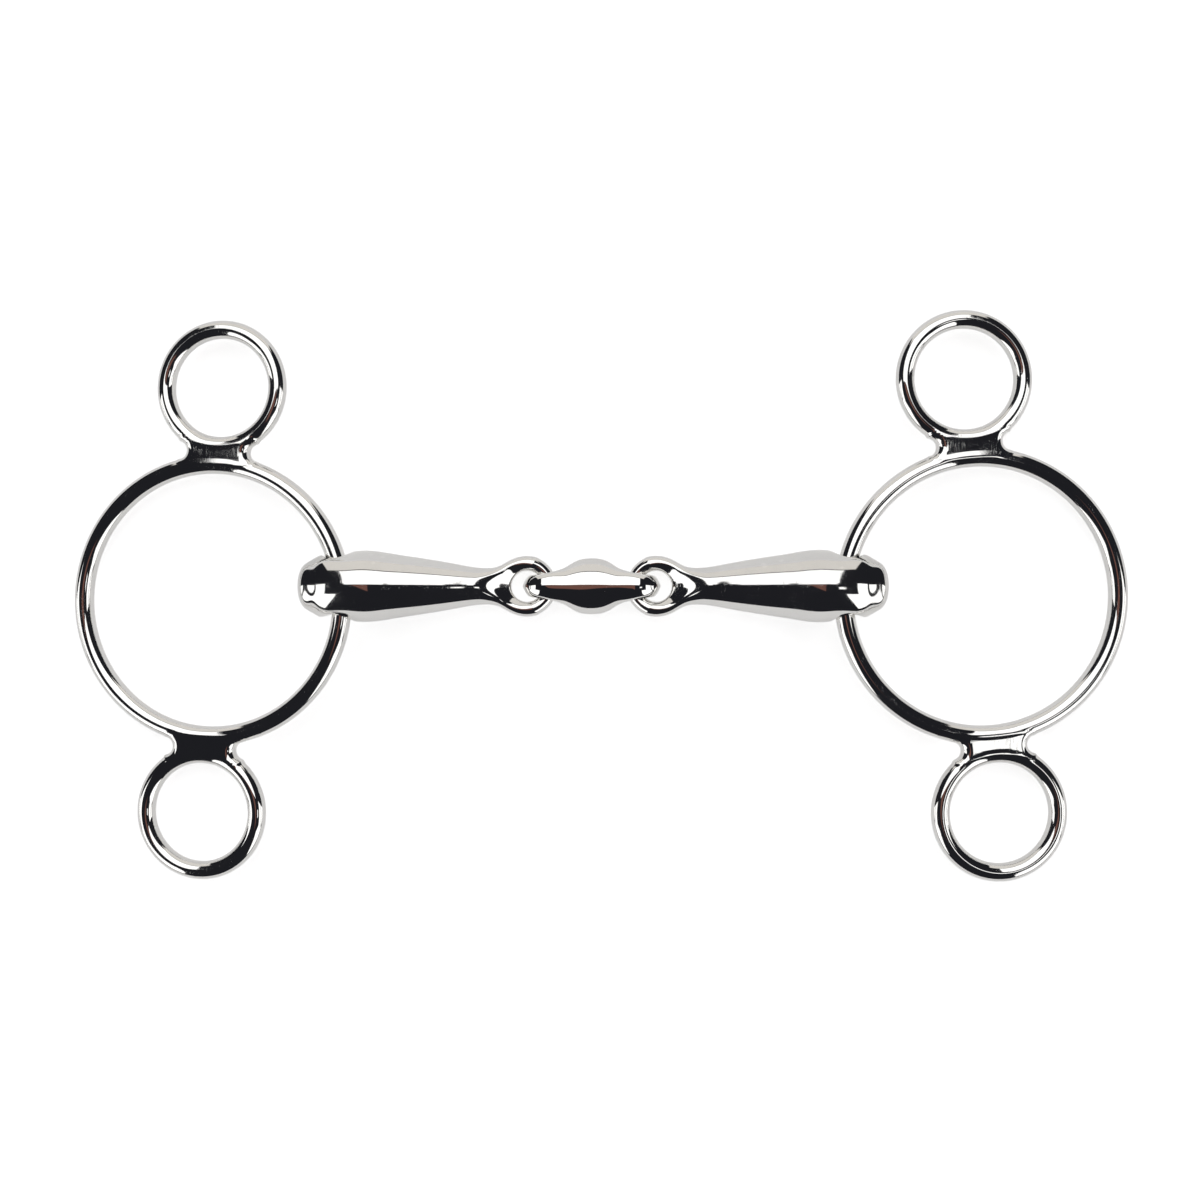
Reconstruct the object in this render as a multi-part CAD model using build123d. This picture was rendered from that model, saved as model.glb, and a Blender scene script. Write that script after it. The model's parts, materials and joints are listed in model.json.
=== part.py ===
from build123d import *
import os
from math import asin, atan2, cos, degrees, hypot, radians, sin, sqrt

# A three-ring gag bit with a double-jointed mouthpiece, lying flat on a table.
# X runs along the mouthpiece, Y towards the headstall rings, and the table is Z = 0.
# The origin is on the table under the middle of the whole bit.
# Millimetres and degrees.

# Mouthpiece
mouth_width = 125.0  # between the two ring passages with the mouthpiece pulled straight
fold_spacing = 20.6  # between the two fold axes of the lozenge link

# Lozenge link: a flattened body with an upright loop at each end
link_width = 14.5  # across the middle, along Y
link_thickness = 10.0  # through the middle
loop_arm = 2.4  # thickness above and below the loop's hole, along Z
loop_bar = 3.9  # thickness of the loop's end, along X
loop_root_flare = 1.4  # how much wider the loop is beside the body than at its bar, along Y
loop_edge_round = 0.7
link_play = 0.25  # least gap between a loop and its cannon's eye

# Cannon eye: the flat ring that the loop passes through
eye_bore = 8.0
eye_rim = 3.35
eye_thickness = 4.6
eye_edge_round = 1.3
eye_flat_reach = 5.0  # from the eye's middle to where its flats start to rise
eye_rise_radius = 22.0

# Cannon: one tapered half of the mouthpiece
cannon_bulge = 18.0  # largest diameter, just inside the ring passage
cannon_waist = 17.0  # diameter at the ring passage
cannon_neck = 9.0  # smallest diameter, behind the eye
neck_to_eye = 10.0  # from the eye's middle to the narrowest place
end_reach = 9.9  # the domed end, past the middle of the ring passage
# The egg-shaped end: how far past the passage, diameter.
end_shape = ((7.6, 12.6), (3.6, 16.2))
passage_edge_round = 0.7
facet_rim = 0.1  # the small flat that is left around each rounded mouth of the passage
# The barrel between passage and neck: share of that length, share of the bulge that is left.
barrel_taper = ((0.15, 1.0), (0.34, 0.78), (0.56, 0.48), (0.78, 0.20), (1.0, 0.0))

# Cheek: a large mouthpiece ring with a small ring above and below, cast as one piece
main_bore = 63.0
main_wire = 4.7
small_bore = 24.5
small_wire = 4.5
web_notch_radius = 2.25  # the round notch where two rings meet
web_edge_round = 2.1

# How the pieces lie
ring_play = 0.1  # least gap between ring wire and passage wall
left_drop = 3.4  # how far the large ring's middle lies below the mouthpiece's line, along Y
right_drop = 2.4
left_lean = 2.9  # headstall ring towards the middle
right_lean = 4.7

# Worked out from the sizes above
fold_x = fold_spacing / 2
cannon_length = mouth_width / 2 - fold_x
eye_middle = (eye_bore + eye_rim) / 2
eye_radius = eye_bore / 2 + eye_rim
neck_x = eye_middle + neck_to_eye
eye_flat_radius = sqrt(eye_radius**2 - (eye_thickness / 2) ** 2)
rim_reach = hypot(eye_flat_radius - eye_middle, eye_thickness / 2)  # the rim's half diagonal
loop_bore = 2 * (rim_reach + link_play)
loop_height = loop_bore + 2 * loop_arm
loop_reach = loop_bore / 2 + loop_bar
loop_bar_width = 2 * sqrt((eye_bore / 2 - link_play) ** 2 - (eye_middle - loop_bore / 2) ** 2)
loop_root_width = loop_bar_width + loop_root_flare
main_radius = (main_bore + main_wire) / 2
small_radius = (small_bore + small_wire) / 2
main_outer = main_bore / 2 + main_wire
small_outer = small_bore / 2 + small_wire
ring_spacing = main_outer + small_outer
mouthpiece_y = (left_drop + right_drop) / 2  # which puts the whole bit's middle at Y = 0


def wire_swing(drop):
    """How far the curved wire strays sideways inside the passage."""
    far_side = cannon_waist / 2 + drop
    return main_radius - sqrt(main_radius**2 - far_side**2)


passage_bore = main_wire + wire_swing(max(left_drop, right_drop)) + 2 * ring_play
facet_diameter = passage_bore + 2 * (passage_edge_round + facet_rim)
facet_width = sqrt(cannon_waist**2 - facet_diameter**2)  # just deep enough to be flat all round


def link_outline(x):
    """Width along Y and height along Z of the lozenge link, x from its middle."""
    along_loop = max(x - fold_x, 0) / loop_reach
    rounded = sqrt(max(1 - along_loop**2, 0))
    height = loop_height * rounded
    if x < fold_x:
        height = link_thickness + (loop_height - link_thickness) * (x / fold_x) ** 2
    shape = (
        (0.0, link_width),
        (fold_x * 0.34, link_width * 0.90),
        (fold_x * 0.66, (link_width + loop_root_width) * 0.44),
        (fold_x * 0.95, loop_root_width),
        (fold_x + loop_bore / 2, loop_bar_width),
        (fold_x + loop_reach * 0.72, loop_bar_width * 0.92),
        (fold_x + loop_reach * 0.93, loop_bar_width * 0.66),
        (fold_x + loop_reach * 0.995, loop_bar_width * 0.26),
    )
    width = next(w for place, w in shape if place >= x - 1e-6)
    return width, height


def make_lozenge_link():
    """The middle link, centred on the origin."""
    places = [0.34 * fold_x, 0.66 * fold_x, 0.95 * fold_x, fold_x + loop_bore / 2]
    places += [fold_x + loop_reach * share for share in (0.72, 0.93, 0.995)]
    sections = []
    for x in [-p for p in reversed(places)] + [0.0] + places:
        width, height = link_outline(abs(x))
        sections.append(Plane.YZ.offset(x) * Ellipse(width / 2, height / 2))
    body = loft(sections)
    for side in (-1, 1):
        bore = Pos(side * fold_x, 0, 0) * Rot(90, 0, 0) * Cylinder(loop_bore / 2, 2 * link_width)
        body -= bore
    mouths = [
        edge
        for edge in body.edges()
        if abs(abs(edge.center().X) - fold_x) < loop_bore / 2
        and abs(edge.center().Y) > 1
        and edge.bounding_box().size.Z < loop_bore + 0.1
        and edge.bounding_box().size.X < loop_bore + 0.1
    ]
    return fillet(mouths, loop_edge_round)


def cannon_profile():
    """Half outline of the cannon, from its domed end along the barrel to the round eye."""
    bulge = cannon_bulge / 2
    neck = cannon_neck / 2
    barrel = cannon_length - neck_x
    points = [(cannon_length + end_reach, 0)]
    points += [(cannon_length + past, width / 2) for past, width in end_shape]
    points += [(cannon_length, cannon_waist / 2)]
    points += [(cannon_length - share * barrel, neck + left * (bulge - neck)) for share, left in barrel_taper]
    side = Spline(*points, tangents=[(0, 1), (-1, 0)])
    # The flare is an arc that leaves the neck level and runs smoothly into the eye's circle.
    flare = (neck_to_eye**2 + neck**2 - eye_radius**2) / (2 * (eye_radius - neck))
    slope = atan2(neck + flare, neck_to_eye)
    meet = (eye_middle + eye_radius * cos(slope), eye_radius * sin(slope))
    half = slope + (radians(90) - slope) / 2
    middle = (neck_x - flare * cos(half), neck + flare - flare * sin(half))
    neck_arc = ThreePointArc((neck_x, neck), middle, meet)
    eye_top = (eye_middle, eye_radius)
    eye_end = (eye_middle - eye_radius, 0)
    eye_arc = ThreePointArc(meet, eye_top, eye_end)
    axis = Line(eye_end, (cannon_length + end_reach, 0))
    return make_face([side, neck_arc, eye_arc, axis])


def eye_flat_cut():
    """What is cut away above the eye: a flat that rises along an arc to clear the neck."""
    half = eye_thickness / 2
    depth = cannon_neck
    rise_start = eye_middle + eye_flat_reach
    run = sqrt(eye_rise_radius**2 - (eye_rise_radius - depth / 2) ** 2)
    turn = asin(run / eye_rise_radius) / 2
    outline = [
        Line((-2 * eye_radius, half), (rise_start, half)),
        ThreePointArc(
            (rise_start, half),
            (rise_start + eye_rise_radius * sin(turn), half + eye_rise_radius * (1 - cos(turn))),
            (rise_start + run, half + depth / 2),
        ),
        Line((rise_start + run, half + depth / 2), (rise_start + run, half + depth)),
        Line((rise_start + run, half + depth), (-2 * eye_radius, half + depth)),
        Line((-2 * eye_radius, half + depth), (-2 * eye_radius, half)),
    ]
    return extrude(Plane.XZ * make_face(outline), eye_radius * 2, both=True)


def make_cannon():
    """One mouthpiece half: fold axis at the origin, ring passage at +X."""
    body = revolve(cannon_profile(), Axis.X)
    cut = eye_flat_cut()
    body = body - cut - mirror(cut, Plane.XY)
    body -= Pos(eye_middle, 0, 0) * Cylinder(eye_bore / 2, 2 * cannon_neck)
    bore_edges = [
        edge
        for edge in body.edges().filter_by(GeomType.CIRCLE)
        if abs(edge.radius - eye_bore / 2) < 0.01 and abs(abs(edge.center().Z) - eye_thickness / 2) < 0.01
    ]
    body = fillet(bore_edges, eye_edge_round)
    passage = Pos(cannon_length, 0, 0) * Rot(90, 0, 0)
    for side in (-1, 1):
        seat = Pos(cannon_length, side * (facet_width / 2 + cannon_bulge / 2), 0) * Rot(90, 0, 0)
        body -= seat * Cylinder(facet_diameter / 2, cannon_bulge)
    body -= passage * Cylinder(passage_bore / 2, 2 * cannon_bulge)
    mouths = [
        edge
        for edge in body.edges().filter_by(GeomType.CIRCLE)
        if abs(edge.radius - passage_bore / 2) < 0.01
    ]
    return fillet(mouths, passage_edge_round)


def ring(radius, wire):
    """A round-wire ring, with its centreline's radius and its wire's diameter."""
    return Torus(radius, wire / 2)


def make_web():
    """Fills the wedges beside the point where two rings meet, main ring's middle at the origin."""
    reach_main = main_outer + web_notch_radius
    reach_small = small_outer + web_notch_radius
    lean = (ring_spacing**2 + reach_main**2 - reach_small**2) / (2 * ring_spacing)
    notch_x = sqrt(reach_main**2 - lean**2)
    touch_main = main_outer / reach_main
    touch_small = small_outer / reach_small
    main_touch = (notch_x * touch_main, lean * touch_main)
    small_touch = (notch_x * touch_small, ring_spacing - (ring_spacing - lean) * touch_small)
    main_root = (main_touch[0] * main_radius / main_outer, main_touch[1] * main_radius / main_outer)
    share = small_radius / small_outer
    small_root = (small_touch[0] * share, ring_spacing - (ring_spacing - small_touch[1]) * share)
    waist = (notch_x - web_notch_radius, lean)
    right = [
        Line(main_root, main_touch),
        ThreePointArc(main_touch, waist, small_touch),
        Line(small_touch, small_root),
    ]
    left = [mirror(piece, Plane.YZ) for piece in right]
    ends = [
        Line((-main_root[0], main_root[1]), main_root),
        Line((-small_root[0], small_root[1]), small_root),
    ]
    web = extrude(make_face(right + left + ends), small_wire / 2, both=True)
    rims = [
        edge
        for edge in web.edges().filter_by(GeomType.CIRCLE)
        if abs(edge.radius - web_notch_radius) < 0.01
    ]
    return fillet(rims, web_edge_round)


def make_cheek():
    """One three-ring cheek, large ring's middle at the origin, small rings along Y."""
    cheek = ring(main_radius, main_wire)
    web = make_web()
    for turn in (0, 180):
        small = Pos(0, ring_spacing, 0) * ring(small_radius, small_wire)
        cheek += Rot(0, 0, turn) * (small + web)
    return cheek


def tilt_cannon(cannon):
    """The angle that lets the cannon's bulge down to the table, with its fold axis where the link holds it."""
    bulge_x = cannon_length - barrel_taper[0][0] * (cannon_length - neck_x)
    bulge_span = hypot(bulge_x, cannon_bulge / 2)
    tilt = degrees(atan2(cannon_bulge / 2, bulge_x) - asin(fold_height / bulge_span))
    lowest = fold_height + (Rot(0, -tilt, 0) * cannon).bounding_box().min.Z
    return tilt - degrees(asin(lowest / bulge_x))


# How it lies: the link on its loops, each cannon on its bulge, each cheek on its outer side.
fold_height = loop_height / 2
straight_cannon = make_cannon()
cannon_tilt = tilt_cannon(straight_cannon)
passage_x = fold_x + cannon_length * cos(radians(cannon_tilt))
passage_height = fold_height + cannon_length * sin(radians(cannon_tilt))


def place_cannon(cannon):
    """Tilts the right-hand cannon about its fold axis and sets it beside the link."""
    return Pos(fold_x, 0, fold_height) * Rot(0, -cannon_tilt, 0) * cannon


def place_cheek(cheek, lean, drop):
    """Threads the right-hand cheek through its passage and lets its outer side down."""
    middle = main_radius - wire_swing(drop) / 2
    fall = degrees(asin((passage_height - main_wire / 2) / (middle + main_radius)))
    in_passage = Pos(middle, -drop, 0) * Rot(0, 0, lean) * cheek
    return Pos(passage_x, 0, passage_height) * Rot(0, fall, 0) * in_passage


def to_left(shape):
    """The left-hand side mirrors the right."""
    return mirror(shape, Plane.YZ)


cannon = place_cannon(straight_cannon)
cheek = make_cheek()
lying = {
    "lozenge_link": Pos(0, 0, fold_height) * make_lozenge_link(),
    "left_cannon": to_left(cannon),
    "right_cannon": cannon,
    "left_cheek": to_left(place_cheek(cheek, left_lean, left_drop)),
    "right_cheek": place_cheek(cheek, right_lean, right_drop),
}
pieces = {name: Pos(0, mouthpiece_y, 0) * shape for name, shape in lying.items()}

os.makedirs("parts", exist_ok=True)
for name, shape in pieces.items():
    export_step(shape, f"parts/{name}.step")
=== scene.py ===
"""A three-ring gag bit in polished stainless steel, lying on a white table.

Each piece is modelled as a smooth solid, given by a field that is negative inside the steel, in its own
straight frame in millimetres. The field is meshed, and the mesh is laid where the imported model's joints and
ring mounts say.
"""

import json
import logging
import math
from dataclasses import dataclass, field
from enum import Enum
from typing import Any, Callable

import bpy
import numpy as np
from mathutils import Matrix, Vector


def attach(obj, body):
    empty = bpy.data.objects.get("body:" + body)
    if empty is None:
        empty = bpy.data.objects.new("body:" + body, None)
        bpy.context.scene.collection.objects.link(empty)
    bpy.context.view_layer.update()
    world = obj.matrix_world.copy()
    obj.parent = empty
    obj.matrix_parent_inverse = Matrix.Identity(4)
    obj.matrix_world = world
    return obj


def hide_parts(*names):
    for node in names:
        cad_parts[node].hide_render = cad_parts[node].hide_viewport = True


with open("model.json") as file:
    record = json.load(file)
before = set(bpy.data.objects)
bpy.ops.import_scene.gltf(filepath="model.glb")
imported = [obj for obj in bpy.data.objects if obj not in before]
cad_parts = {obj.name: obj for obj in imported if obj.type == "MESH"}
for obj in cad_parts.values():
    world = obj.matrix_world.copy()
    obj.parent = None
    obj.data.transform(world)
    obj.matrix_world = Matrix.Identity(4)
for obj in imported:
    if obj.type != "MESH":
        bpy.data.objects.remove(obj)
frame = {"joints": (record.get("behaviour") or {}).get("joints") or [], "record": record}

LOG = logging.getLogger("bit")
MM = 0.001
TINY = 1e-9
Array = np.ndarray
Field = Callable[[Array, Array, Array], Array]
Outline = tuple[tuple[float, float], ...]
Colour = tuple[float, float, float]
Edge = tuple[float, float]
Span = tuple[float, float, float]


class Side(Enum):
    """The two sides of the bit, as seen with the headstall rings up."""

    LEFT = -1
    RIGHT = 1

    @property
    def word(self) -> str:
        """The side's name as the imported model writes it."""
        return self.name.lower()


# ---------------------------------------------------------------------------------------- smooth solids


def join(a: Array, b: Array, blend: float) -> Array:
    """Unites two fields with a smooth fillet.

    Args:
        a: The first field's values.
        b: The second field's values.
        blend: How far apart in value the two still blend, in millimetres.

    Returns:
        The united field's values.
    """
    near = np.maximum(blend - np.abs(a - b), 0.0) / blend
    return np.minimum(a, b) - near**3 * blend / 6.0


def keep(a: Array, b: Array, blend: float) -> Array:
    """Keeps what is inside both fields, with a rounded edge (Args and Returns as for join)."""
    return -join(-a, -b, blend)


def cut(a: Array, tool: Array, blend: float) -> Array:
    """Cuts tool out of a, with a rounded edge (Args and Returns as for join)."""
    return keep(a, -tool, blend)


def round_ring(x: Array, y: Array, z: Array, radius: float, wire: float) -> Array:
    """A ring of round wire in the XY plane.

    Args:
        x: First coordinates, in millimetres.
        y: Second coordinates.
        z: Third coordinates.
        radius: The centreline's radius.
        wire: The wire's diameter.

    Returns:
        The distance to the ring's surface, negative inside.
    """
    return np.hypot(np.hypot(x, y) - radius, z) - wire / 2


@dataclass(frozen=True)
class Curve:
    """A smooth curve through given points. It is level at its last point and stays there beyond it.

    Attributes:
        points: The place and the value of each point, with the places rising.
    """

    points: Outline

    def at(self, x: Array) -> Array:
        """The curve's values.

        Args:
            x: Places. Before the first point the curve runs on straight.

        Returns:
            The values there.
        """
        places, values = np.array(self.points).T
        gap = np.diff(places)
        slope = np.diff(values) / gap
        bends = self._bends(gap, slope)
        held = np.clip(x, places[0], places[-1])
        piece = np.clip(np.searchsorted(places, held) - 1, 0, len(gap) - 1)
        wide = gap[piece]
        after = (held - places[piece]) / wide
        before = 1.0 - after
        straight = values[piece] * before + values[piece + 1] * after
        curl = (before**3 - before) * bends[piece] + (after**3 - after) * bends[piece + 1]
        first = slope[0] - gap[0] * bends[1] / 6
        return straight + curl * wide**2 / 6 + first * np.minimum(x - places[0], 0.0)

    @staticmethod
    def _bends(gap: Array, slope: Array) -> Array:
        """The second derivative at each point, from the points' gaps and the slopes between them."""
        count = len(gap) + 1
        matrix = np.eye(count)
        right = np.zeros(count)
        for i in range(1, count - 1):
            matrix[i, i - 1 : i + 2] = gap[i - 1], 2 * (gap[i - 1] + gap[i]), gap[i]
            right[i] = 6 * (slope[i] - slope[i - 1])
        matrix[-1, -2:] = gap[-1], 2 * gap[-1]
        right[-1] = -6 * slope[-1]
        return np.linalg.solve(matrix, right)


@dataclass(frozen=True)
class Spindle:
    """A long body with an oval section and a round tip.

    Attributes:
        plan: Half of its width, by place, with the places rising from just inside the tip.
        side_view: Half of its height, in the same way.
        tip: The tip's place.
        root: Where the tip's rounding begins.
        least_steep: Added to the field's squared steepness, which would be 0 on the axis.
    """

    plan: Outline
    side_view: Outline
    tip: float
    root: float
    least_steep: float = 0.002

    def _left(self, place: Array | float) -> Array:
        """What the rounding of the tip leaves of the squared sizes, 1 from the root on and 0 at the tip."""
        return 1 - (np.maximum(self.root - place, 0.0) / (self.root - self.tip)) ** 2

    def _squares(self, outline: Outline) -> Curve:
        """An outline's squared sizes before the tip is rounded."""
        return Curve(tuple((place, float(half**2 / self._left(place))) for place, half in outline))

    def at(self, place: Array, y: Array, z: Array) -> Array:
        """The body's field.

        Args:
            place: Places along the body.
            y: Distances from its middle, across.
            z: Distances from its middle, up.

        Returns:
            About the distance to its surface, negative inside.
        """
        wide = self._squares(self.plan).at(place)
        tall = self._squares(self.side_view).at(place)
        ease = 2 * np.maximum(self.root - place, 0.0) / (self.root - self.tip) ** 2
        steep = np.sqrt((2 * y / wide) ** 2 + (2 * z / tall) ** 2 + ease**2 + self.least_steep)
        return (y**2 / wide + z**2 / tall - self._left(place)) / steep


@dataclass
class Skin:
    """A closed mesh of quads that follows a field's zero surface, with the field's own normals.

    Attributes:
        shape: The field.
        low: The lowest corner of the box that is searched, in millimetres.
        high: The highest corner.
        cell: The edge of a search cell, which is about the edge of a quad.
        even_rounds: How often the points are settled and then evened out.
        even_share: How far a point is then moved towards its neighbours' middle, as a share.
        settle_rounds: How often the points are settled after that.
        longest_move: The longest move of one settling, in cells.
        least_steep: The least squared steepness that a settling reckons with.
        slope_step: How far to either side the field is read for its gradient, in cells.
        points: The mesh's points, one row each, in millimetres.
        quads: The four points of each quad.
        normals: The surface's direction at each point.
    """

    shape: Field
    low: tuple[float, float, float]
    high: tuple[float, float, float]
    cell: float
    even_rounds: int = 3
    even_share: float = 0.5
    settle_rounds: int = 4
    longest_move: float = 0.5
    least_steep: float = 1e-4
    slope_step: float = 0.02
    points: Array = field(init=False)
    quads: Array = field(init=False)
    normals: Array = field(init=False)

    def __post_init__(self) -> None:
        """Meshes the field, evens the quads out and settles every point on the surface."""
        self._net()
        for _ in range(self.even_rounds):
            self._settle()
            self._even_out()
        for _ in range(self.settle_rounds):
            self._settle()
        slope = self._slope()
        self.normals = slope / np.linalg.norm(slope, axis=1, keepdims=True)

    def _net(self) -> None:
        """Puts one point in each cell that the surface crosses, and a quad across each crossed edge."""
        axes = [np.arange(lo, hi + self.cell, self.cell) for lo, hi in zip(self.low, self.high)]
        grid = np.meshgrid(*axes, indexing="ij")
        values = self.shape(*grid)
        inside = values < 0
        count = np.zeros(tuple(n - 1 for n in inside.shape), dtype=np.int8)
        corners = [(i, j, k) for i in (0, 1) for j in (0, 1) for k in (0, 1)]
        for i, j, k in corners:
            count += inside[i : i + count.shape[0], j : j + count.shape[1], k : k + count.shape[2]]
        active = (count > 0) & (count < len(corners))
        cells = np.argwhere(active)
        index = np.full(count.shape, -1)
        index[active] = np.arange(len(cells))
        total = np.zeros((len(cells), 3))
        hits = np.zeros((len(cells), 1))
        for a in corners:
            for axis in range(3):
                if a[axis]:
                    continue
                b = tuple(v + (n == axis) for n, v in enumerate(a))
                at_a = values[tuple((cells + a).T)]
                at_b = values[tuple((cells + b).T)]
                crossed = (at_a < 0) != (at_b < 0)
                share = np.where(crossed, at_a / np.where(crossed, at_a - at_b, 1.0), 0.0)
                place = cells + a + share[:, None] * (np.array(b) - a)
                total += place * crossed[:, None]
                hits += crossed[:, None]
        self.points = np.array(self.low) + total / hits * self.cell
        quads = []
        for axis in range(3):
            u, v = (axis + 1) % 3, (axis + 2) % 3
            ahead = [slice(None)] * 3
            behind = [slice(None)] * 3
            ahead[axis], behind[axis] = slice(1, None), slice(None, -1)
            first, second = inside[tuple(behind)], inside[tuple(ahead)]
            for into, chosen in ((False, first & ~second), (True, ~first & second)):
                edges = np.argwhere(chosen)
                ring = []
                for du, dv in ((-1, -1), (0, -1), (0, 0), (-1, 0)):
                    around = edges.copy()
                    around[:, u] += du
                    around[:, v] += dv
                    ring.append(index[tuple(around.T)])
                quad = np.stack(ring, axis=1)
                quads.append(quad[:, ::-1] if into else quad)
        self.quads = np.concatenate(quads)

    def _slope(self) -> Array:
        """The field's gradient at every point."""
        step = self.cell * self.slope_step
        x, y, z = self.points.T
        shape = self.shape
        parts = (
            shape(x + step, y, z) - shape(x - step, y, z),
            shape(x, y + step, z) - shape(x, y - step, z),
            shape(x, y, z + step) - shape(x, y, z - step),
        )
        return np.stack(parts, axis=1) / (2 * step)

    def _settle(self) -> None:
        """Moves every point onto the surface, by one Newton step."""
        slope = self._slope()
        value = self.shape(*self.points.T)
        steep = np.maximum((slope**2).sum(axis=1), self.least_steep)
        move = (value / steep)[:, None] * slope
        size = np.maximum(np.linalg.norm(move, axis=1, keepdims=True), TINY)
        self.points -= move * np.minimum(1.0, self.longest_move * self.cell / size)

    def _even_out(self) -> None:
        """Moves every point towards the middle of its neighbours."""
        total = np.zeros_like(self.points)
        count = np.zeros((len(self.points), 1))
        for corner in range(4):
            for turn in (1, 3):
                other = self.quads[:, (corner + turn) % 4]
                np.add.at(total, self.quads[:, corner], self.points[other])
                np.add.at(count, self.quads[:, corner], 1.0)
        self.points += self.even_share * (total / count - self.points)


@dataclass(frozen=True)
class Place:
    """Where a piece's straight frame lies in the whole bit, in metres.

    Attributes:
        origin: The straight frame's origin.
        x: Its X direction.
        y: Its Y direction.
    """

    origin: Vector
    x: Vector
    y: Vector

    def lay(self, points: Array, scale: float) -> Array:
        """Turns points or normals of the straight frame.

        Args:
            points: One row of coordinates for each point.
            scale: MM for points, and 0 for normals, which aren't moved.

        Returns:
            The same rows in the bit's frame.
        """
        z = self.x.cross(self.y)
        turned = points @ np.array([self.x, self.y, z])
        return turned * scale + np.array(self.origin) if scale else turned


def finish_piece(
    name: str,
    skin: Skin,
    place: Place,
    body: str,
    material: bpy.types.Material,
) -> None:
    """Makes the Blender object of one piece, and says what it rides on and stands for.

    Args:
        name: The piece's name.
        skin: Its mesh in its straight frame.
        place: Where it lies.
        body: The body that it rides on, which is also the CAD node that it stands for.
        material: Its finish.
    """
    mesh = bpy.data.meshes.new(name)
    mesh.from_pydata(place.lay(skin.points, MM).tolist(), [], skin.quads.tolist())
    mesh.polygons.foreach_set("use_smooth", [True] * len(mesh.polygons))
    mesh.normals_split_custom_set_from_vertices(place.lay(skin.normals, 0.0).tolist())
    mesh.materials.append(material)
    piece = bpy.data.objects.new(name, mesh)
    bpy.context.scene.collection.objects.link(piece)
    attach(piece, body)
    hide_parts(body)
    LOG.info("%s: %d faces", name, len(mesh.polygons))


# ------------------------------------------------------------------------------- what the frame says


def joint_place(name: str) -> Vector:
    """A joint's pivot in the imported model, by the joint's name, in metres."""
    return Vector(next(j["pos_m"] for j in frame["joints"] if j["name"] == name))


def ring_mount(name: str) -> dict[str, Any]:
    """A ring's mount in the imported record, by the mount's name."""
    return next(m for m in frame["record"]["mounts"] if m["name"] == name)


# --------------------------------------------------------------------------------------- the pieces


@dataclass
class Cheek:
    """A large ring with a small ring above and below, cast as one. The large ring's middle is the origin.

    Attributes:
        side: Which side it hangs on.
        notch: Radius of the notch beside each web.
        web_round: How round the web's two sides are.
        web_blend: Width of the soft edge where the web runs into the wires.
        web_rise: How much higher than the small wire the web is on either face.
        web_reach: How far the web's middle runs in over the wires, past their centrelines.
        cell: The edge of a quad, about.
        main_radius: Radius of the large ring's centreline.
        main_wire: Diameter of its wire.
        small_radius: Radius of a small ring's centreline.
        small_wire: Diameter of its wire.
        spacing: From the large ring's middle to a small ring's.
        place: Where the straight frame lies.
    """

    side: Side
    notch: float = 2.25
    web_round: float = 2.1
    web_blend: float = 0.5
    web_rise: float = 0.08
    web_reach: float = 2.1
    cell: float = 0.5
    main_radius: float = field(init=False)
    main_wire: float = field(init=False)
    small_radius: float = field(init=False)
    small_wire: float = field(init=False)
    spacing: float = field(init=False)
    place: Place = field(init=False)

    def __post_init__(self) -> None:
        """Reads the rings' sizes and places from their mounts."""
        main = ring_mount(f"{self.side.word}_main_ring")
        small = ring_mount(f"{self.side.word}_headstall_ring")
        self.main_wire = main["dims"]["length_mm"]
        self.small_wire = small["dims"]["length_mm"]
        self.main_radius = main["dims"]["r_mm"] + self.main_wire / 2
        self.small_radius = small["dims"]["r_mm"] + self.small_wire / 2
        across = Vector(small["pos_m"]) - Vector(main["pos_m"])
        self.spacing = across.length / MM
        y = across.normalized()
        x = y.cross(Vector(main["axis"])).normalized()
        self.place = Place(Vector(main["pos_m"]), x, y)

    def web(self, x: Array, y: Array, z: Array) -> Array:
        """The plate that fills the wedges beside the point where two rings meet.

        Args:
            x: Distances across the web.
            y: Distances from the large ring's middle.
            z: Heights.

        Returns:
            The plate's field.
        """
        to_main = self.main_radius + self.main_wire / 2 + self.notch
        to_small = self.small_radius + self.small_wire / 2 + self.notch
        up = (self.spacing**2 + to_main**2 - to_small**2) / (2 * self.spacing)
        out = math.sqrt(to_main**2 - up**2)
        reach = self.web_reach * np.maximum(1.0 - (x / out) ** 2, 0.0)
        from_main = self.main_radius - reach - np.hypot(x, y)
        from_small = self.small_radius - reach - np.hypot(x, y - self.spacing)
        from_notch = self.notch - np.hypot(np.abs(x) - out, y - up)
        between = np.maximum(np.abs(x) - out, y - self.spacing)
        plan = np.maximum(np.maximum(from_main, from_small), np.maximum(from_notch, between))
        rise = np.abs(z) - self.small_wire / 2 - self.web_rise
        edge_in = np.maximum(plan + self.web_round, 0.0)
        edge_up = np.maximum(rise + self.web_round, 0.0)
        flat = np.minimum(np.maximum(plan, rise) + self.web_round, 0.0)
        return np.hypot(edge_in, edge_up) + flat - self.web_round

    def shape(self, x: Array, y: Array, z: Array) -> Array:
        """The whole cheek's field, at coordinates in millimetres."""
        up = np.abs(y)
        main = round_ring(x, y, z, self.main_radius, self.main_wire)
        small = round_ring(x, up - self.spacing, z, self.small_radius, self.small_wire)
        rings = np.minimum(main, small)
        return join(rings, self.web(x, up, z), self.web_blend)

    def build(self, material: bpy.types.Material) -> None:
        """Meshes the cheek and lays it in its place.

        Args:
            material: The rings' finish.
        """
        wide = self.main_radius + self.main_wire
        tall = self.spacing + self.small_radius + self.small_wire
        thick = self.main_wire
        skin = Skin(self.shape, (-wide, -tall, -thick), (wide, tall, thick), self.cell)
        body = f"{self.side.word}_cheek"
        finish_piece(f"{body}_casting", skin, self.place, body, material)


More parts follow.
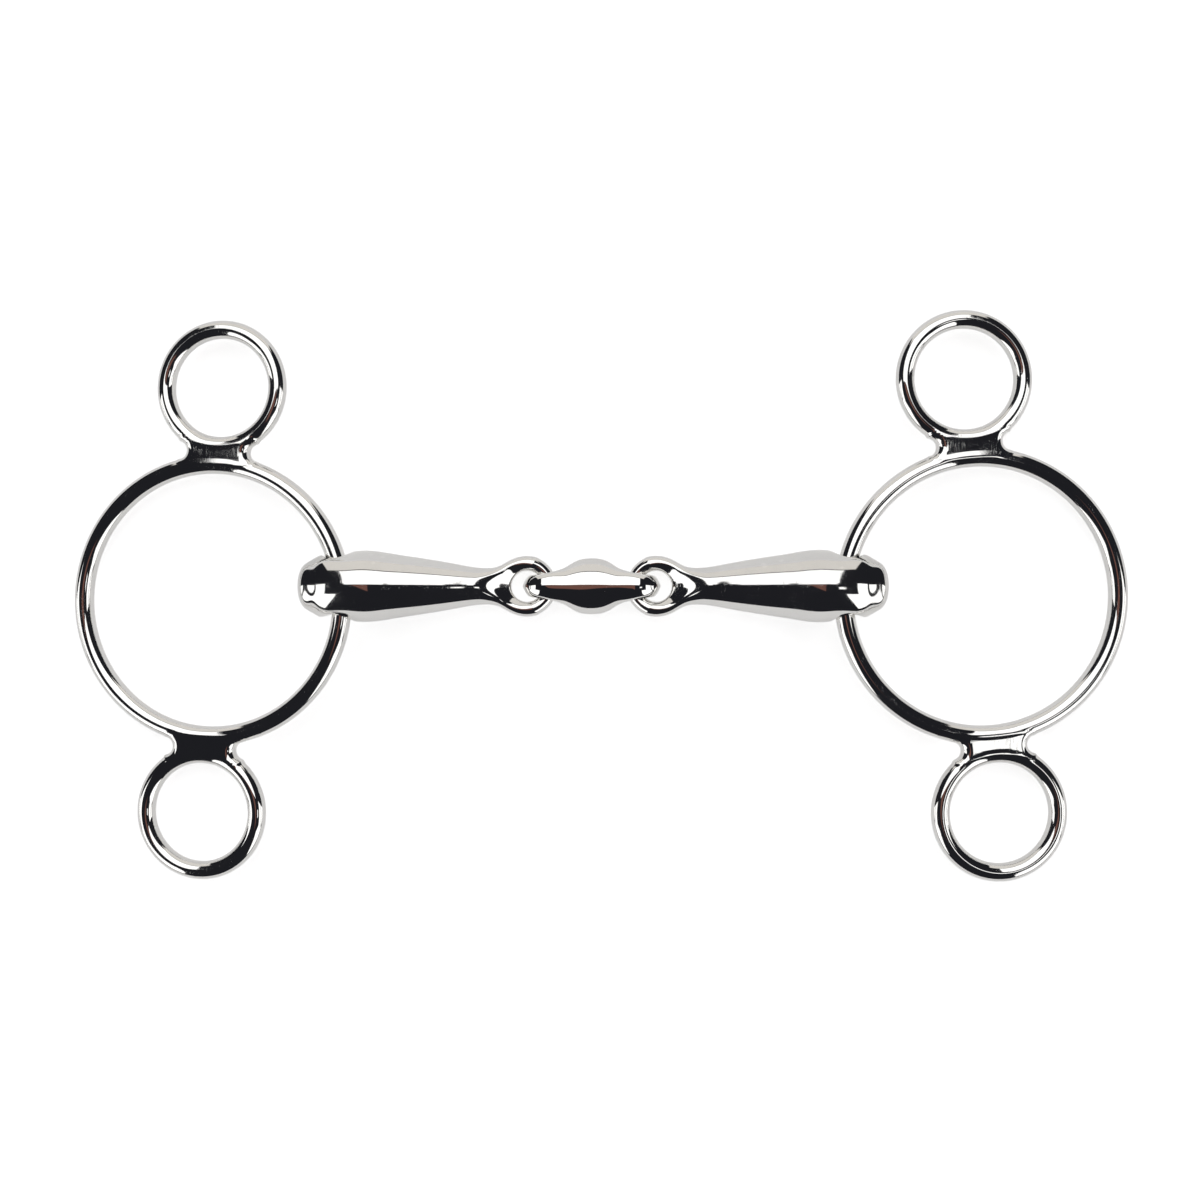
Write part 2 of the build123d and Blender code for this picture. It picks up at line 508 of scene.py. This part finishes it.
@dataclass
class Cannon:
    """One mouthpiece half. Its fold axis is the origin and X runs to the ring passage.

    Attributes:
        side: Which side it lies on.
        barrel: The barrel, by how far inward from the ring passage. Its end is blunter in plan than in
            height.
        barrel_end: How steeply the barrel's field ends at the eye's middle.
        passage: Radius of the ring passage.
        passage_round: Width of the rounded edge of its mouths.
        eye_bore: Radius of the eye's hole.
        eye_outer: Radius of the eye's rim.
        eye_height: Half of the eye's thickness.
        flat_reach: How far from the eye's middle its flats start to rise.
        rise_radius: Radius of the arc on which they rise.
        rise_share: How much of that radius they rise over at most.
        flat_skin: How far outside the rim's own oval the flats lie.
        flat_round: Width of the rounded edge between the flats and the rim.
        shoulder: Width of the soft corner between the eye and the neck.
        funnel: Half of the rim's height where the funnel beside the hole begins.
        funnel_radius: The funnel's radius there.
        funnel_slope: How steeply the funnel widens.
        funnel_shift: How far the funnel lies towards the neck.
        funnel_steep: Turns the funnel's height into about a distance.
        funnel_round: Width of the funnel's rounded edge.
        margin: Room around the barrel in the box that is searched.
        end_margin: Room past the barrel's tip in that box.
        cell: The edge of a quad, about.
        length: From the fold axis to the ring passage.
        place: Where the straight frame lies.
    """

    side: Side
    barrel: Spindle = Spindle(
        plan=(
            (-9.6, 2.7),
            (-8.0, 5.5),
            (-4.8, 7.4),
            (0.0, 8.3),
            (6.0, 8.8),
            (13.0, 8.1),
            (20.5, 6.95),
            (28.5, 5.6),
            (36.5, 4.5),
        ),
        side_view=(
            (-9.6, 1.5),
            (-8.0, 3.3),
            (-4.8, 5.6),
            (-1.0, 7.5),
            (3.0, 8.6),
            (7.0, 8.98),
            (13.5, 8.1),
            (20.5, 6.95),
            (28.5, 5.6),
            (36.5, 4.5),
        ),
        tip=-9.9,
        root=12.0,
    )
    barrel_end: float = 0.9
    passage: float = 3.53
    passage_round: float = 1.5
    eye_bore: float = 4.0
    eye_outer: float = 7.35
    eye_height: float = 2.3
    flat_reach: float = 3.5
    rise_radius: float = 14.0
    rise_share: float = 0.98
    flat_skin: float = 0.25
    flat_round: float = 2.2
    shoulder: float = 5.5
    funnel: float = 0.9
    funnel_radius: float = 2.9
    funnel_slope: float = 0.62
    funnel_shift: float = 1.6
    funnel_steep: float = 0.87
    funnel_round: float = 0.8
    margin: float = 1.0
    end_margin: float = 0.6
    cell: float = 0.4
    length: float = field(init=False)
    place: Place = field(init=False)

    def __post_init__(self) -> None:
        """Lays the straight frame from the fold axis to the ring passage."""
        fold = joint_place(f"{self.side.word}_fold")
        passage = joint_place(f"{self.side.word}_swivel")
        self.length = (passage - fold).length / MM
        x = (passage - fold).normalized()
        y = Vector((0.0, float(self.side.value), 0.0))
        self.place = Place(fold, x, y)

    def shape(self, x: Array, y: Array, z: Array) -> Array:
        """The whole cannon's field, at coordinates in millimetres."""
        middle = (self.eye_bore + self.eye_outer) / 2
        half_rim = (self.eye_outer - self.eye_bore) / 2
        from_eye = np.hypot(x - middle, y)
        outer = np.maximum(from_eye - middle, 0.0) / half_rim
        rim = (np.hypot(outer, z / self.eye_height) - 1.0) * self.eye_height
        rod = np.maximum(self.barrel.at(self.length - x, y, z), (middle - x) * self.barrel_end)
        body = join(rod, np.maximum(rim, -self.eye_height), self.shoulder)
        past = np.clip(x - middle - self.flat_reach, 0.0, self.rise_radius * self.rise_share)
        height = self.eye_height + self.rise_radius - np.sqrt(self.rise_radius**2 - past**2)
        inner = np.maximum(middle - from_eye, 0.0) / half_rim
        slab = (np.hypot(inner, z / height) - 1.0) * height
        body = keep(body, slab - self.flat_skin, self.flat_round)
        away = np.hypot(x - middle - self.funnel_shift, y) - self.funnel_radius
        funnel = (self.funnel + self.funnel_slope * away - np.abs(z)) * self.funnel_steep
        body = cut(body, funnel, self.funnel_round)
        hole = np.hypot(x - self.length, z) - self.passage
        return cut(body, hole, self.passage_round)

    def build(self, material: bpy.types.Material) -> None:
        """Meshes the cannon and lays it in its place.

        Args:
            material: The mouthpiece's finish.
        """
        wide = max(half for _, half in self.barrel.side_view) + self.margin
        low = (-self.eye_outer, -wide, -wide)
        high = (self.length - self.barrel.tip + self.end_margin, wide, wide)
        skin = Skin(self.shape, low, high, self.cell)
        body = f"{self.side.word}_cannon"
        finish_piece(f"{body}_casting", skin, self.place, body, material)


@dataclass
class LozengeLink:
    """The middle link: a flattened bead that runs out into two upright loops. Its middle is the origin.

    Attributes:
        plan: Half of its width, by how far from its middle, the tip first, as (-distance, width).
        least_square: The least squared half of its width, past the tips.
        crown: Height of the oval top above the straight sides, in the same way as plan.
        middle_height: Half of its height in the middle.
        loop_height: Half of a loop's height.
        loop_reach: How far a loop reaches past its fold axis.
        loop_bore: Radius of the loops' holes.
        loop_blunt: How far from the middle height a loop's tip is rounded.
        bore_round: Width of the rounded edges of the holes.
        margin: Room at the sides, above and below in the box that is searched.
        end_margin: Room past the loops in that box.
        cell: The edge of a quad, about.
        fold: From its middle to a fold axis.
        place: Where the straight frame lies.
    """

    plan: Outline = (
        (-17.1, 0.0),
        (-16.2, 2.1),
        (-14.5, 2.75),
        (-12.0, 3.0),
        (-9.5, 3.6),
        (-7.5, 4.15),
        (-6.2, 4.75),
        (-4.8, 5.7),
        (-2.9, 6.75),
        (0.0, 7.25),
    )
    least_square: float = 0.01
    crown: Outline = (
        (-17.0, 1.5),
        (-13.0, 1.6),
        (-10.0, 1.9),
        (-7.5, 2.8),
        (-4.5, 5.0),
        (0.0, 6.3),
    )
    middle_height: float = 5.0
    loop_height: float = 5.27
    loop_reach: float = 6.8
    loop_bore: float = 2.87
    loop_blunt: float = 0.6
    bore_round: float = 1.2
    margin: float = 1.0
    end_margin: float = 0.9
    cell: float = 0.3
    fold: float = field(init=False)
    place: Place = field(init=False)

    def __post_init__(self) -> None:
        """Lays the straight frame midway between the two fold axes."""
        left = joint_place("left_fold")
        right = joint_place("right_fold")
        self.fold = (right - left).length / 2 / MM
        self.place = Place((left + right) / 2, Vector((1.0, 0.0, 0.0)), Vector((0.0, 1.0, 0.0)))

    def shape(self, x: Array, y: Array, z: Array) -> Array:
        """The link's field, at coordinates in millimetres."""
        out = np.abs(x)
        squares = Curve(tuple((place, half**2) for place, half in self.plan))
        wide = np.sqrt(np.maximum(squares.at(-out), self.least_square))
        crown = Curve(self.crown).at(-out)
        share = np.minimum(out / self.fold, 1.0)
        tall = self.middle_height + (self.loop_height - self.middle_height) * share**2 * (3 - 2 * share)
        past = np.maximum(out - self.fold, 0.0) / self.loop_reach
        top = (np.hypot(past, np.hypot(z, self.loop_blunt) / tall) - 1.0) * tall
        body = (np.hypot(np.maximum(top / crown + 1.0, 0.0), y / wide) - 1.0) * np.minimum(crown, wide)
        hole = np.hypot(out - self.fold, z) - self.loop_bore
        return cut(body, hole, self.bore_round)

    def build(self, material: bpy.types.Material) -> None:
        """Meshes the link and lays it in its place.

        Args:
            material: The link's finish.
        """
        wide = self.plan[-1][1] + self.margin
        tall = self.loop_height + self.margin
        reach = self.fold + self.loop_reach + self.end_margin
        skin = Skin(self.shape, (-reach, -wide, -tall), (reach, wide, tall), self.cell)
        finish_piece("lozenge_link_casting", skin, self.place, "lozenge_link", material)


# ---------------------------------------------------------------------------------------- materials


def solid(colour: Colour) -> tuple[float, float, float, float]:
    """The colour with its alpha, which is 1."""
    return (*colour, 1.0)


class Socket:
    """A number that flows through a node tree, with Python's operators."""

    def __init__(self, tree: "Tree", link: bpy.types.NodeSocket) -> None:
        """Wraps an output socket of tree."""
        self.tree = tree
        self.link = link

    def _math(self, operation: str, *values: "Socket | float") -> "Socket":
        """Adds one Math node on the values given."""
        sockets = dict(enumerate(values))
        return self.tree.add("ShaderNodeMath", {"operation": operation}, sockets)

    def __add__(self, other: "Socket | float") -> "Socket":
        """self + other"""
        return self._math("ADD", self, other)

    __radd__ = __add__

    def __sub__(self, other: "Socket | float") -> "Socket":
        """self - other"""
        return self._math("SUBTRACT", self, other)

    def __rsub__(self, other: "Socket | float") -> "Socket":
        """other - self"""
        return self._math("SUBTRACT", other, self)

    def __mul__(self, other: "Socket | float") -> "Socket":
        """self * other"""
        return self._math("MULTIPLY", self, other)

    __rmul__ = __mul__

    def __abs__(self) -> "Socket":
        """abs(self)"""
        return self._math("ABSOLUTE", self)

    def angle_from(self, other: "Socket") -> "Socket":
        """The angle in degrees whose tangent is self / other, all the way round."""
        return self._math("ARCTAN2", self, other) * math.degrees(1.0)

    def arcsine(self) -> "Socket":
        """The angle in degrees whose sine is self."""
        return self._math("ARCSINE", self) * math.degrees(1.0)

    def step(self, low: float, high: float) -> "Socket":
        """A smooth step, 0 below low and 1 above high."""
        settings = {"interpolation_type": "SMOOTHSTEP"}
        return self.tree.add("ShaderNodeMapRange", settings, {0: self, 1: low, 2: high})

    def band(self, low: float, high: float, soft: float) -> "Socket":
        """1 between low and high and 0 outside, with edges soft wide."""
        return self.step(low - soft, low) * (1.0 - self.step(high, high + soft))


class Tree:
    """A node tree that is written as expressions."""

    def __init__(self, owner: bpy.types.Material | bpy.types.World) -> None:
        """Clears the owner's node tree and starts anew."""
        owner.use_nodes = True
        self.tree = owner.node_tree
        self.tree.nodes.clear()

    def add(
        self,
        kind: str,
        settings: dict[str, Any],
        sockets: dict[Any, Any],
        out: int | str = 0,
    ) -> Socket:
        """Adds any node.

        Args:
            kind: The node's type.
            settings: Its own settings, such as a Math node's operation.
            sockets: Values or links of its inputs, by name or place.
            out: Which output to return.

        Returns:
            The output, wrapped.
        """
        node = self.tree.nodes.new(kind)
        for name, value in settings.items():
            setattr(node, name, value)
        for name, value in sockets.items():
            if isinstance(value, Socket):
                self.tree.links.new(value.link, node.inputs[name])
            else:
                node.inputs[name].default_value = value
        return Socket(self, node.outputs[out] if node.outputs else None)

    def mix(self, share: Socket | float, first: Any, second: Any) -> Socket:
        """Mixes two colours, all of second where share is 1."""
        return self.add("ShaderNodeMix", {"data_type": "RGBA"}, {0: share, 6: first, 7: second}, 2)


@dataclass(frozen=True)
class Grain:
    """A noise with a size, and the mask that is made of its high places.

    Attributes:
        scale: How fine the noise is, in repeats to the metre.
        limits: The noise's values where the mask begins to rise and where it's 1.
        detail: How many finer layers it has.
        rough: How strong they are.
    """

    scale: float
    limits: Edge = (0.0, 1.0)
    detail: float = 2.0
    rough: float = 0.5

    def noise(self, tree: Tree, place: Socket) -> Socket:
        """The noise itself, from 0 to 1, at the places given."""
        values = {"Vector": place, "Scale": self.scale, "Detail": self.detail, "Roughness": self.rough}
        return tree.add("ShaderNodeTexNoise", {}, values, "Fac")

    def mask(self, tree: Tree, place: Socket) -> Socket:
        """The mask, from 0 to 1, at the places given."""
        return self.noise(tree, place).step(*self.limits)


@dataclass(frozen=True)
class PolishedSteel:
    """Mirror-polished stainless steel with the marks that handling leaves, and a painted highlight on its
    sharp edges.

    Attributes:
        name: The material's name.
        tint: Its colour.
        dull: The tint's share that is left in the haze.
        bright: How much brighter the tint is in the painted edge highlight.
        gloss: Roughness where the polish is perfect.
        haze: The thin polishing haze.
        haze_rough: Roughness that it adds.
        haze_dull: How dull it is.
        smudge: Wide faint smudges.
        smudge_rough: Roughness that they add.
        smudge_dull: How dull they are.
        wear: How sharp an edge is where rubbing and the painted edge highlight begin, and where they are
            full.
        wear_rough: Roughness that rubbing adds on those edges.
        wear_bright: How much of the painted edge highlight shows there. It is a brighter tint that stands for
            light catching the edges.
        scratch: The fine scratches in one direction.
        scratch_patch: The patches in which they lie.
        scratch_turns: Their directions, in radians.
        scratch_tilt: How much further the next direction is tilted, in radians.
        scratch_lean: How far all of them lean, in radians.
        scratch_stretch: How the noise is stretched into lines.
        scratch_rough: Roughness that they add.
        scratch_height: Their depth, in metres.
        pit: The casting pits that polishing left.
        pit_patch: The patches in which they lie.
        pit_height: Their depth, in metres.
        ripple: The slow ripple of hand polishing.
        ripple_height: Its height, in metres.
    """

    name: str
    tint: Colour = (0.86, 0.85, 0.83)
    dull: float = 0.93
    # painted edge highlight: how much the tint is brightened on sharp edges
    bright: float = 1.05
    gloss: float = 0.035
    haze: Grain = Grain(120.0, (0.40, 0.75), 4.0, 0.6)
    haze_rough: float = 0.025
    haze_dull: float = 0.5
    smudge: Grain = Grain(35.0, (0.55, 0.72), 3.0, 0.55)
    smudge_rough: float = 0.04
    smudge_dull: float = 0.3
    # sharp edges that get rubbing roughness and the painted edge highlight
    wear: Edge = (0.515, 0.60)
    wear_rough: float = 0.05
    # strength of the painted edge highlight, a brighter tint standing for light on the edges
    wear_bright: float = 0.7
    scratch: Grain = Grain(260.0, (0.665, 0.70), 1.0)
    scratch_patch: Grain = Grain(90.0, (0.42, 0.62))
    scratch_turns: tuple[float, ...] = (0.3, 1.2, 2.1, 2.8)
    scratch_tilt: float = 0.4
    scratch_lean: float = 0.3
    scratch_stretch: tuple[float, float, float] = (30.0, 1.0, 30.0)
    scratch_rough: float = 0.10
    scratch_height: float = 0.0000005
    pit: Grain = Grain(2600.0, (0.66, 0.74), 2.0, 0.6)
    pit_patch: Grain = Grain(60.0, (0.52, 0.66))
    pit_height: float = 0.000004
    ripple: Grain = Grain(140.0, detail=1.0)
    ripple_height: float = 0.00001

    def _scratch_mask(self, tree: Tree, place: Socket) -> Socket:
        """Fine straight scratches in a few directions, as a mask from 0 to 1.

        Args:
            tree: The material's tree.
            place: The coordinates, in metres.

        Returns:
            The mask.
        """
        total: Socket | None = None
        for number, turn in enumerate(self.scratch_turns):
            rotation = (self.scratch_tilt * number, self.scratch_lean, turn)
            values = {"Vector": place, "Rotation": rotation, "Scale": self.scratch_stretch}
            line = self.scratch.mask(tree, tree.add("ShaderNodeMapping", {}, values))
            total = line if total is None else total + line
        return total * self.scratch_patch.mask(tree, place)

    def build(self) -> bpy.types.Material:
        """Makes the material.

        Returns:
            The new material.
        """
        material = bpy.data.materials.new(self.name)
        tree = Tree(material)
        place = tree.add("ShaderNodeTexCoord", {}, {}, "Object")
        scratched = self._scratch_mask(tree, place)
        haze = self.haze.mask(tree, place)
        smudge = self.smudge.mask(tree, place)
        # Sharp edges: rubbing adds roughness there, and the colour gets a painted edge highlight.
        worn_and_highlit = tree.add("ShaderNodeNewGeometry", {}, {}, "Pointiness").step(*self.wear)
        pits = self.pit.mask(tree, place) * self.pit_patch.mask(tree, place)
        rough = self.gloss + self.haze_rough * haze + self.smudge_rough * smudge
        rough = rough + self.scratch_rough * scratched + self.wear_rough * worn_and_highlit
        dull = tuple(value * self.dull for value in self.tint)
        # The brighter tint of the painted edge highlight, standing for light catching the sharp edges.
        bright = tuple(min(1.0, value * self.bright) for value in self.tint)
        colour = tree.mix(haze * self.haze_dull + smudge * self.smudge_dull, solid(self.tint), solid(dull))
        # Painted edge highlight: the tint is brightened on sharp edges.
        colour = tree.mix(worn_and_highlit * self.wear_bright, colour, solid(bright))
        height = self.ripple.noise(tree, place) * self.ripple_height
        height = height - scratched * self.scratch_height - pits * self.pit_height
        relief = {"Strength": 1.0, "Distance": 1.0, "Height": height}
        normal = tree.add("ShaderNodeBump", {}, relief, "Normal")
        finish = {"Base Color": colour, "Metallic": 1.0, "Roughness": rough, "Normal": normal}
        shader = tree.add("ShaderNodeBsdfPrincipled", {}, finish)
        tree.add("ShaderNodeOutputMaterial", {}, {"Surface": shader})
        return material


# ------------------------------------------------------------------------------- table, light, camera


WHITE = solid((1.0, 1.0, 1.0))


@dataclass(frozen=True)
class Table:
    """The white table. It looks darker in the steel than it does to the camera.

    Attributes:
        size: Its edge, in metres.
        white: Its colour, as seen.
        glow: How much the seen table shines by itself, so that it's white outside the shadows.
        mirrored: Its colour in the steel.
        mirrored_glow: How much that table shines by itself.
    """

    size: float = 3.0
    white: float = 0.86
    glow: float = 0.67
    mirrored: float = 0.80
    mirrored_glow: float = 0.30

    @staticmethod
    def _paint(tree: Tree, grey: float, glow: float) -> Socket:
        """A dull paint that shines a little by itself."""
        paint = tree.add("ShaderNodeBsdfDiffuse", {}, {"Color": solid((grey, grey, grey))})
        shine = tree.add("ShaderNodeEmission", {}, {"Color": WHITE, "Strength": glow})
        return tree.add("ShaderNodeAddShader", {}, {0: paint, 1: shine})

    def build(self) -> None:
        """Makes the table, on which shadows still show."""
        half = self.size / 2
        mesh = bpy.data.meshes.new("table")
        corners = [(-half, -half, 0.0), (half, -half, 0.0), (half, half, 0.0), (-half, half, 0.0)]
        mesh.from_pydata(corners, [], [(0, 1, 2, 3)])
        table = bpy.data.objects.new("table", mesh)
        bpy.context.scene.collection.objects.link(table)
        material = bpy.data.materials.new("white_table")
        tree = Tree(material)
        seen = tree.add("ShaderNodeLightPath", {}, {}, "Is Camera Ray")
        through = tree.add("ShaderNodeLightPath", {}, {}, "Is Transmission Ray")
        bright = self._paint(tree, self.white, self.glow)
        dim = self._paint(tree, self.mirrored, self.mirrored_glow)
        both = tree.add("ShaderNodeMixShader", {}, {0: seen + through, 1: dim, 2: bright})
        tree.add("ShaderNodeOutputMaterial", {}, {"Surface": both})
        mesh.materials.append(material)
        LOG.info("table: %.1f m wide", self.size)


@dataclass(frozen=True)
class Room:
    """The room that the steel mirrors: a dark ceiling, bright windows, a pale wall and a brown strip.

    A direction in the room has two angles in degrees. The turn goes about X, from straight up towards the
    headstall rings. The lean goes towards +X, and is 0 at the room's middle. An Edge says where something
    begins to change and where it has changed. A Span says where something begins, where it ends, and how
    wide its soft edges are. The windows and the wall reach as far to the left as to the right.

    Attributes:
        middle: How far to the left of straight up the room's middle lies.
        dark: The ceiling's colour.
        bright: The windows' and the lamp's colour.
        wall: The wall's colour.
        wood: The strip's colour.
        window_turn: The window ahead, from its lower edge to its upper edge.
        window_end: Its end at either side.
        corner_turn: The height to which its lower corners are cut away.
        corner_end: Its end there.
        strip_slant: How fast the strip's lower edge falls towards the right.
        strip_drop: How far below straight up that edge lies in the middle.
        strip_low: The lower edge's softness.
        strip_high: Its upper edge.
        strip_lean: Its length.
        wall_turn: The wall's lower edge.
        wall_end: Its end at either side.
        pane_lean: The inner edge of the windows at both sides.
        pane_bar: The bar that divides each of them.
        pane_turn: Their height.
        low_pane_lean: The low part between them and the bit.
        low_pane_turn: Its height.
        lamp_lean: The small lamp at the right.
        lamp_turn: Its height.
    """

    middle: float
    dark: Colour = (0.014, 0.0145, 0.018)
    bright: Colour = (1.35, 1.35, 1.35)
    wall: Colour = (0.75, 0.725, 0.69)
    wood: Colour = (0.16, 0.075, 0.06)
    window_turn: Span = (5.6, 52.4, 0.4)
    window_end: Edge = (25.0, 25.8)
    corner_turn: Edge = (9.0, 10.0)
    corner_end: Edge = (23.4, 24.0)
    strip_slant: float = 0.9
    strip_drop: float = 10.8
    strip_low: Edge = (0.0, 3.0)
    strip_high: Edge = (4.2, 4.8)
    strip_lean: Span = (-20.0, 8.0, 1.5)
    wall_turn: Edge = (55.0, 55.8)
    wall_end: Edge = (34.0, 36.0)
    pane_lean: Edge = (46.5, 47.3)
    pane_bar: Span = (68.5, 71.5, 0.5)
    pane_turn: Span = (-80.0, 8.0, 1.0)
    low_pane_lean: Span = (32.0, 47.0, 0.8)
    low_pane_turn: Span = (-80.0, -28.0, 1.0)
    lamp_lean: Span = (25.2, 32.0, 0.6)
    lamp_turn: Span = (-11.0, -4.5, 0.6)

    def _parts(self, turn: Socket, lean: Socket) -> list[tuple[Socket, Colour]]:
        """Says where in the room its parts are.

        Args:
            turn: A direction's first angle.
            lean: Its second angle.

        Returns:
            Each part's mask and colour. A later part hides an earlier one.
        """
        aside = abs(lean)
        window = turn.band(*self.window_turn) * (1.0 - aside.step(*self.window_end))
        window = window * (1.0 - aside.step(*self.corner_end) * (1.0 - turn.step(*self.corner_turn)))
        strip = (turn + lean * self.strip_slant + self.strip_drop).step(*self.strip_low)
        strip = strip * (1.0 - turn.step(*self.strip_high)) * lean.band(*self.strip_lean)
        wall = turn.step(*self.wall_turn) * (1.0 - aside.step(*self.wall_end))
        pane = aside.step(*self.pane_lean) * (1.0 - aside.band(*self.pane_bar))
        pane = pane * turn.band(*self.pane_turn)
        low_pane = aside.band(*self.low_pane_lean) * turn.band(*self.low_pane_turn)
        lamp = lean.band(*self.lamp_lean) * turn.band(*self.lamp_turn)
        return [
            (window, self.bright),
            (strip, self.wood),
            (wall, self.wall),
            (pane, self.bright),
            (low_pane, self.bright),
            (lamp, self.bright),
        ]

    def build(self) -> None:
        """Makes the room as the scene's world. The camera itself sees white there."""
        world = bpy.data.worlds.new("room")
        bpy.context.scene.world = world
        tree = Tree(world)
        direction = tree.add("ShaderNodeTexCoord", {}, {}, "Generated")
        right = tree.add("ShaderNodeSeparateXYZ", {}, {"Vector": direction}, "X")
        ahead = Socket(tree, right.link.node.outputs["Y"])
        up = Socket(tree, right.link.node.outputs["Z"])
        colour: Any = solid(self.dark)
        parts = self._parts(ahead.angle_from(up), right.arcsine() + self.middle)
        for mask, paint in parts:
            colour = tree.mix(mask, colour, solid(paint))
        seen = tree.add("ShaderNodeLightPath", {}, {}, "Is Camera Ray")
        colour = tree.mix(seen, colour, WHITE)
        background = tree.add("ShaderNodeBackground", {}, {"Color": colour, "Strength": 1.0})
        tree.add("ShaderNodeOutputWorld", {}, {"Surface": background})
        LOG.info("room: %d parts", len(parts))


@dataclass(frozen=True)
class Camera:
    """The camera, almost straight above the bit, with the headstall rings up.

    Attributes:
        distance: How far it is from what it's aimed at, in metres.
        yaw: How far it stands to the right of straight above, in degrees.
        aim_x: Where on the table it's aimed, in metres.
        aim_y: The same, towards the headstall rings.
        view_width: What the picture shows of the table's level, in metres.
        sensor_width: Its sensor's width, in millimetres.
        nearest: The nearest that it sees, in metres.
        furthest: The furthest that it sees, in metres.
    """

    distance: float = 0.405
    yaw: float = 3.0
    aim_x: float = 0.0018
    aim_y: float = -0.0005
    view_width: float = 0.3001
    sensor_width: float = 36.0
    nearest: float = 0.01
    furthest: float = 50.0

    def build(self) -> None:
        """Makes the camera and sets how the picture's colours are shown."""
        data = bpy.data.cameras.new("camera")
        data.sensor_width = self.sensor_width
        data.lens = self.sensor_width * self.distance / self.view_width
        data.clip_start = self.nearest
        data.clip_end = self.furthest
        camera = bpy.data.objects.new("camera", data)
        turned = Matrix.Rotation(math.radians(self.yaw), 4, "Y")
        back = Matrix.Translation((0.0, 0.0, self.distance))
        camera.matrix_world = Matrix.Translation((self.aim_x, self.aim_y, 0.0)) @ turned @ back
        bpy.context.scene.collection.objects.link(camera)
        bpy.context.scene.camera = camera
        bpy.context.scene.view_settings.view_transform = "Standard"
        LOG.info("camera: %.1f mm lens", data.lens)


def main() -> None:
    """Builds the bit piece by piece, then the table, the room and the camera."""
    logging.basicConfig(level=logging.INFO, format="%(name)s: %(message)s")
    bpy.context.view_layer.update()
    rings = PolishedSteel("polished_rings").build()
    mouthpiece = PolishedSteel("polished_mouthpiece").build()
    link = PolishedSteel("polished_link").build()
    LozengeLink().build(link)
    for side in Side:
        Cannon(side).build(mouthpiece)
        Cheek(side).build(rings)
    Table().build()
    camera = Camera()
    Room(middle=camera.yaw).build()
    camera.build()
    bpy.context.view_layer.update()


if __name__ == "__main__":
    main()
